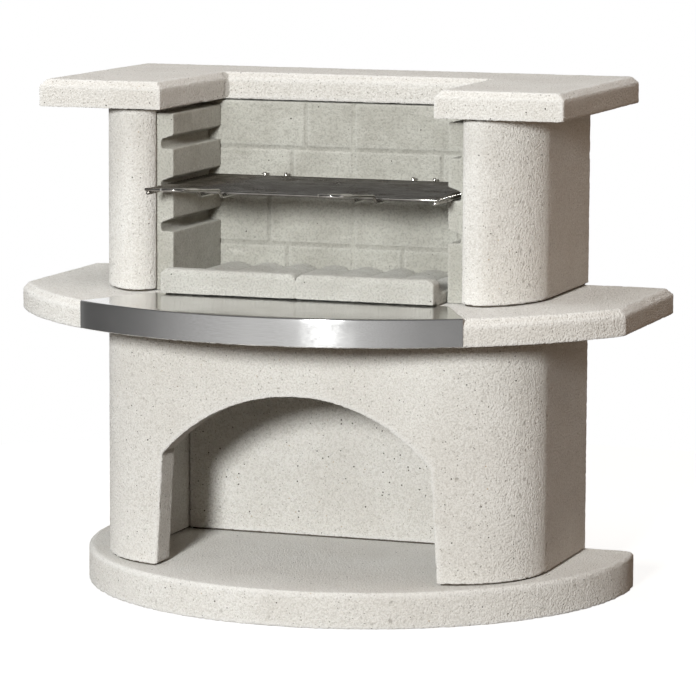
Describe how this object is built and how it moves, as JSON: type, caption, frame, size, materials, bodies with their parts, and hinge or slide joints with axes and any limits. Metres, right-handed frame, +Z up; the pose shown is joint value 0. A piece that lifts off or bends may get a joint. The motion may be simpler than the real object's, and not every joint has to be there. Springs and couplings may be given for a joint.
{
  "type": "outdoor masonry barbecue",
  "caption": "Free-standing concrete garden barbecue with an arched wood store, bowed worktop with steel cover, open-topped cap and a sliding wire cooking grid.",
  "frame": {"origin": "on the ground under the middle of the whole object's bounding box", "axes": "+X to the right along the front, +Y from the open front to the back wall, +Z up"},
  "size_m": [1.15, 0.7418, 0.942],
  "materials": {
    "concrete": "pale rough-cast concrete",
    "lining": "fine grey-beige refractory concrete",
    "fire_bed": "fine grey refractory concrete",
    "steel_cover": "brushed stainless sheet",
    "grid_wire": "bright plated steel wire",
    "mortar": "dark recessed mortar"
  },
  "bodies": {
    "masonry": {"base_slab": "concrete", "lower_body": "concrete", "lower_back_wall": "concrete", "worktop": "concrete", "left_column": "concrete", "right_column": "concrete", "upper_back_wall": "concrete", "cap": "concrete", "left_lining": "lining", "right_lining": "lining", "back_lining_left": "lining", "back_lining_right": "lining", "fire_bed_left": "fire_bed", "fire_bed_right": "fire_bed", "steel_worktop_cover": "steel_cover", "mortar_body_foot_left": "mortar", "mortar_body_foot_right": "mortar", "mortar_back_wall_foot": "mortar", "mortar_body_head": "mortar", "mortar_back_wall_head": "mortar", "mortar_left_column_foot": "mortar", "mortar_right_column_foot": "mortar", "mortar_left_column_head": "mortar", "mortar_right_column_head": "mortar", "mortar_upper_wall_foot": "mortar", "mortar_upper_wall_head": "mortar"},
    "grid": {"cooking_grid": "grid_wire", "left_grid_handle": "grid_wire", "right_grid_handle": "grid_wire"}
  },
  "joints": [
    {"name": "grid_slide", "type": "slide", "parent": "masonry", "child": "grid", "axis": [0, -1, 0], "range_m": [-0.018, 0.2]}
  ]
}
